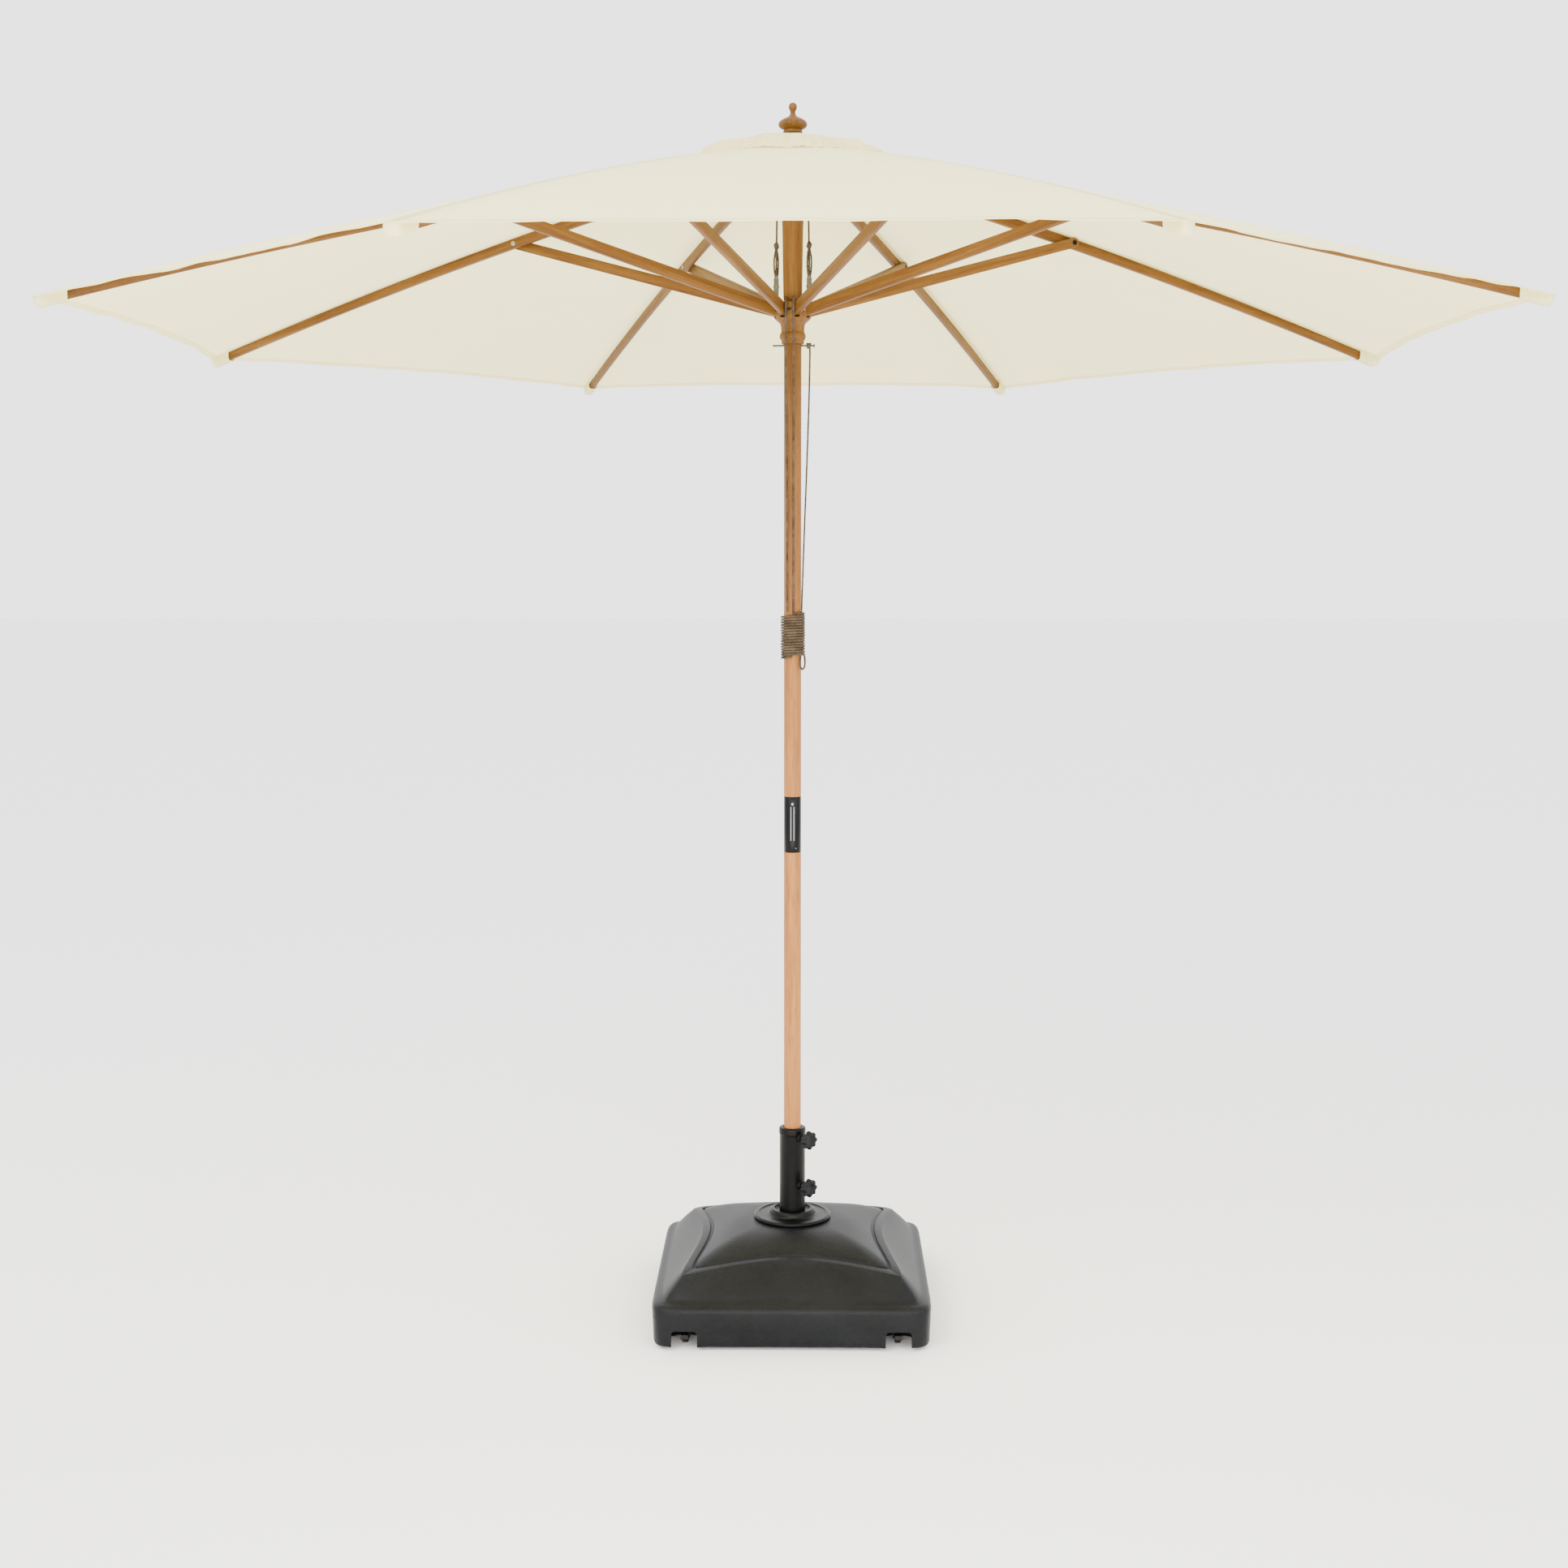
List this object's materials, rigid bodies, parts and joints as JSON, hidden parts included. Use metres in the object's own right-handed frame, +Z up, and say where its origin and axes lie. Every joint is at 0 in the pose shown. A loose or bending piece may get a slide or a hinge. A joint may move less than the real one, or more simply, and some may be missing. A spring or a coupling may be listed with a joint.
{
  "type": "patio umbrella with wheeled base",
  "caption": "Octagonal wooden pulley parasol, cream canvas canopy with vent cap, two-part pole with steel ferrule, in a fillable black wheeled base.",
  "frame": {"origin": "On the floor under the middle of the pole: the centre of the bounding box in X and Y and the lowest point in Z.", "axes": "+Z up along the pole. -Y is the front, where the ropes and the two braked casters are. +X is to the right seen from the front."},
  "size_m": [2.7772, 2.7772, 2.5705],
  "materials": {
    "plastic": "moulded black plastic with a fine leather grain",
    "black_steel": "black powder coat",
    "steel": "plain zinc-bright steel",
    "dark_steel": "dark brushed steel sleeve",
    "pole_wood": "pale satin-varnished hardwood, grain along the pole",
    "hardwood": "oiled golden-brown hardwood, grain along each bar",
    "canvas": "woven cream polyester canvas",
    "cordage": "braided taupe cord",
    "tread": "dull black wheel"
  },
  "bodies": {
    "base": {"base_tank": "plastic", "base_flange": "black_steel", "socket_tube": "black_steel"},
    "mast": {"lower_pole": "pole_wood", "upper_pole": "pole_wood", "ferrule_sleeve": "dark_steel", "hub": "hardwood", "hub_ring": "steel", "finial": "hardwood", "canopy": "canvas", "vent_cap": "canvas", "hoist_rope_right": "cordage", "hoist_rope_left": "cordage", "fall_rope_left": "cordage", "fall_rope_right": "cordage", "pin_cord": "cordage", "rope_wrap": "cordage"},
    "upper_knob": {"upper_knob": "plastic"},
    "lower_knob": {"lower_knob": "plastic"},
    "fill_cap": {"fill_cap": "plastic"},
    "caster_front_left_fork": {"caster_front_left_fork": "black_steel"},
    "caster_front_left_wheel": {"caster_front_left_wheel": "tread"},
    "caster_front_right_fork": {"caster_front_right_fork": "black_steel"},
    "caster_front_right_wheel": {"caster_front_right_wheel": "tread"},
    "caster_rear_left_fork": {"caster_rear_left_fork": "black_steel"},
    "caster_rear_left_wheel": {"caster_rear_left_wheel": "tread"},
    "caster_rear_right_fork": {"caster_rear_right_fork": "black_steel"},
    "caster_rear_right_wheel": {"caster_rear_right_wheel": "tread"},
    "brake_left": {"brake_left": "black_steel"},
    "brake_right": {"brake_right": "black_steel"},
    "runner": {"runner": "hardwood", "runner_ring": "steel", "block_right": "steel", "block_left": "steel"},
    "rib_1": {"rib_1": "hardwood"},
    "strut_1": {"strut_1": "hardwood"},
    "rib_2": {"rib_2": "hardwood"},
    "strut_2": {"strut_2": "hardwood"},
    "rib_3": {"rib_3": "hardwood"},
    "strut_3": {"strut_3": "hardwood"},
    "rib_4": {"rib_4": "hardwood"},
    "strut_4": {"strut_4": "hardwood"},
    "rib_5": {"rib_5": "hardwood"},
    "strut_5": {"strut_5": "hardwood"},
    "rib_6": {"rib_6": "hardwood"},
    "strut_6": {"strut_6": "hardwood"},
    "rib_7": {"rib_7": "hardwood"},
    "strut_7": {"strut_7": "hardwood"},
    "rib_8": {"rib_8": "hardwood"},
    "strut_8": {"strut_8": "hardwood"},
    "hub_sheave_right": {"hub_sheave_right": "steel"},
    "block_sheave_right": {"block_sheave_right": "steel"},
    "hub_sheave_left": {"hub_sheave_left": "steel"},
    "block_sheave_left": {"block_sheave_left": "steel"},
    "ferrule_button": {"ferrule_button": "steel"},
    "lock_pin": {"lock_pin": "steel"}
  },
  "joints": [
    {"name": "mast_turn", "type": "hinge", "parent": "base", "child": "mast", "pos_m": [0, 0, 0.3], "axis": [0, 0, 1], "continuous": true},
    {"name": "upper_knob_turn", "type": "hinge", "parent": "base", "child": "upper_knob", "pos_m": [0.03547, -0.04204, 0.378], "axis": [0.6448, -0.7643, 0], "continuous": true},
    {"name": "lower_knob_turn", "type": "hinge", "parent": "base", "child": "lower_knob", "pos_m": [0.03547, -0.04204, 0.272], "axis": [0.6448, -0.7643, 0], "continuous": true},
    {"name": "fill_cap_turn", "type": "hinge", "parent": "base", "child": "fill_cap", "pos_m": [0, 0.15, 0.175], "axis": [0, 0, 1], "continuous": true},
    {"name": "caster_front_left_swivel", "type": "hinge", "parent": "base", "child": "caster_front_left_fork", "pos_m": [-0.222, -0.247, 0.05], "axis": [0, 0, 1], "continuous": true},
    {"name": "caster_front_left_roll", "type": "hinge", "parent": "caster_front_left_fork", "child": "caster_front_left_wheel", "pos_m": [-0.222, -0.234, 0.017], "axis": [1, 0, 0], "continuous": true},
    {"name": "caster_front_right_swivel", "type": "hinge", "parent": "base", "child": "caster_front_right_fork", "pos_m": [0.222, -0.247, 0.05], "axis": [0, 0, 1], "continuous": true},
    {"name": "caster_front_right_roll", "type": "hinge", "parent": "caster_front_right_fork", "child": "caster_front_right_wheel", "pos_m": [0.222, -0.234, 0.017], "axis": [1, 0, 0], "continuous": true},
    {"name": "caster_rear_left_swivel", "type": "hinge", "parent": "base", "child": "caster_rear_left_fork", "pos_m": [-0.222, 0.247, 0.05], "axis": [0, 0, 1], "continuous": true},
    {"name": "caster_rear_left_roll", "type": "hinge", "parent": "caster_rear_left_fork", "child": "caster_rear_left_wheel", "pos_m": [-0.222, 0.234, 0.017], "axis": [1, 0, 0], "continuous": true},
    {"name": "caster_rear_right_swivel", "type": "hinge", "parent": "base", "child": "caster_rear_right_fork", "pos_m": [0.222, 0.247, 0.05], "axis": [0, 0, 1], "continuous": true},
    {"name": "caster_rear_right_roll", "type": "hinge", "parent": "caster_rear_right_fork", "child": "caster_rear_right_wheel", "pos_m": [0.222, 0.234, 0.017], "axis": [1, 0, 0], "continuous": true},
    {"name": "brake_left_press", "type": "hinge", "parent": "caster_front_left_fork", "child": "brake_left", "pos_m": [-0.222, -0.2565, 0.0395], "axis": [1, 0, 0], "range_deg": [0, 12]},
    {"name": "brake_right_press", "type": "hinge", "parent": "caster_front_right_fork", "child": "brake_right", "pos_m": [0.222, -0.2565, 0.0395], "axis": [1, 0, 0], "range_deg": [0, 12]},
    {"name": "runner_slide", "type": "slide", "parent": "mast", "child": "runner", "axis": [0, 0, -1], "range_m": [0, 0.9816], "deforming": ["canopy", "vent_cap", "hoist_rope_right", "hoist_rope_left", "fall_rope_left", "fall_rope_right", "pin_cord", "rope_wrap", "lock_pin"]},
    {"name": "rib_1_fold", "type": "hinge", "parent": "mast", "child": "rib_1", "pos_m": [0.03085, 0.0196, 2.462], "axis": [-0.3827, 0.9239, 0], "range_deg": [0, 74.56]},
    {"name": "strut_1_fold", "type": "hinge", "parent": "runner", "child": "strut_1", "pos_m": [0.03382, 0.00719, 2.146], "axis": [0.3827, -0.9239, 0], "range_deg": [0, 71.23]},
    {"name": "rib_2_fold", "type": "hinge", "parent": "mast", "child": "rib_2", "pos_m": [0.00796, 0.03567, 2.462], "axis": [-0.9239, 0.3827, 0], "range_deg": [0, 74.56]},
    {"name": "strut_2_fold", "type": "hinge", "parent": "runner", "child": "strut_2", "pos_m": [0.01883, 0.029, 2.146], "axis": [0.9239, -0.3827, 0], "range_deg": [0, 71.23]},
    {"name": "rib_3_fold", "type": "hinge", "parent": "mast", "child": "rib_3", "pos_m": [-0.0196, 0.03085, 2.462], "axis": [-0.9239, -0.3827, 0], "range_deg": [0, 74.56]},
    {"name": "strut_3_fold", "type": "hinge", "parent": "runner", "child": "strut_3", "pos_m": [-0.00719, 0.03382, 2.146], "axis": [0.9239, 0.3827, 0], "range_deg": [0, 71.23]},
    {"name": "rib_4_fold", "type": "hinge", "parent": "mast", "child": "rib_4", "pos_m": [-0.03567, 0.00796, 2.462], "axis": [-0.3827, -0.9239, 0], "range_deg": [0, 74.56]},
    {"name": "strut_4_fold", "type": "hinge", "parent": "runner", "child": "strut_4", "pos_m": [-0.029, 0.01883, 2.146], "axis": [0.3827, 0.9239, 0], "range_deg": [0, 71.23]},
    {"name": "rib_5_fold", "type": "hinge", "parent": "mast", "child": "rib_5", "pos_m": [-0.03085, -0.0196, 2.462], "axis": [0.3827, -0.9239, 0], "range_deg": [0, 74.56]},
    {"name": "strut_5_fold", "type": "hinge", "parent": "runner", "child": "strut_5", "pos_m": [-0.03382, -0.00719, 2.146], "axis": [-0.3827, 0.9239, 0], "range_deg": [0, 71.23]},
    {"name": "rib_6_fold", "type": "hinge", "parent": "mast", "child": "rib_6", "pos_m": [-0.00796, -0.03567, 2.462], "axis": [0.9239, -0.3827, 0], "range_deg": [0, 74.56]},
    {"name": "strut_6_fold", "type": "hinge", "parent": "runner", "child": "strut_6", "pos_m": [-0.01883, -0.029, 2.146], "axis": [-0.9239, 0.3827, 0], "range_deg": [0, 71.23]},
    {"name": "rib_7_fold", "type": "hinge", "parent": "mast", "child": "rib_7", "pos_m": [0.0196, -0.03085, 2.462], "axis": [0.9239, 0.3827, 0], "range_deg": [0, 74.56]},
    {"name": "strut_7_fold", "type": "hinge", "parent": "runner", "child": "strut_7", "pos_m": [0.00719, -0.03382, 2.146], "axis": [-0.9239, -0.3827, 0], "range_deg": [0, 71.23]},
    {"name": "rib_8_fold", "type": "hinge", "parent": "mast", "child": "rib_8", "pos_m": [0.03567, -0.00796, 2.462], "axis": [0.3827, 0.9239, 0], "range_deg": [0, 74.56]},
    {"name": "strut_8_fold", "type": "hinge", "parent": "runner", "child": "strut_8", "pos_m": [0.029, -0.01883, 2.146], "axis": [-0.3827, -0.9239, 0], "range_deg": [0, 71.23]},
    {"name": "hub_sheave_right_spin", "type": "hinge", "parent": "mast", "child": "hub_sheave_right", "pos_m": [0.02, 0.00582, 2.399], "axis": [0, 1, 0], "continuous": true},
    {"name": "block_sheave_right_spin", "type": "hinge", "parent": "runner", "child": "block_sheave_right", "pos_m": [0.0345, -0.00582, 2.1964], "axis": [0, 1, 0], "continuous": true},
    {"name": "hub_sheave_left_spin", "type": "hinge", "parent": "mast", "child": "hub_sheave_left", "pos_m": [-0.02, -0.00582, 2.399], "axis": [0, -1, 0], "continuous": true},
    {"name": "block_sheave_left_spin", "type": "hinge", "parent": "runner", "child": "block_sheave_left", "pos_m": [-0.0345, 0.00582, 2.1964], "axis": [0, -1, 0], "continuous": true},
    {"name": "button_press", "type": "slide", "parent": "mast", "child": "ferrule_button", "axis": [0, 1, 0], "range_m": [0, 0.0022], "stiffness_N_per_m": 2000},
    {"name": "pin_pull", "type": "slide", "parent": "mast", "child": "lock_pin", "axis": [1, 0, 0], "range_m": [0, 0.09]}
  ],
  "couplings": [
    {"joint": "rib_1_fold", "follows": "runner_slide", "rad_per_m": 1.3253},
    {"joint": "strut_1_fold", "follows": "runner_slide", "rad_per_m": 1.2661},
    {"joint": "rib_2_fold", "follows": "runner_slide", "rad_per_m": 1.3253},
    {"joint": "strut_2_fold", "follows": "runner_slide", "rad_per_m": 1.2661},
    {"joint": "rib_3_fold", "follows": "runner_slide", "rad_per_m": 1.3253},
    {"joint": "strut_3_fold", "follows": "runner_slide", "rad_per_m": 1.2661},
    {"joint": "rib_4_fold", "follows": "runner_slide", "rad_per_m": 1.3253},
    {"joint": "strut_4_fold", "follows": "runner_slide", "rad_per_m": 1.2661},
    {"joint": "rib_5_fold", "follows": "runner_slide", "rad_per_m": 1.3253},
    {"joint": "strut_5_fold", "follows": "runner_slide", "rad_per_m": 1.2661},
    {"joint": "rib_6_fold", "follows": "runner_slide", "rad_per_m": 1.3253},
    {"joint": "strut_6_fold", "follows": "runner_slide", "rad_per_m": 1.2661},
    {"joint": "rib_7_fold", "follows": "runner_slide", "rad_per_m": 1.3253},
    {"joint": "strut_7_fold", "follows": "runner_slide", "rad_per_m": 1.2661},
    {"joint": "rib_8_fold", "follows": "runner_slide", "rad_per_m": 1.3253},
    {"joint": "strut_8_fold", "follows": "runner_slide", "rad_per_m": 1.2661}
  ]
}
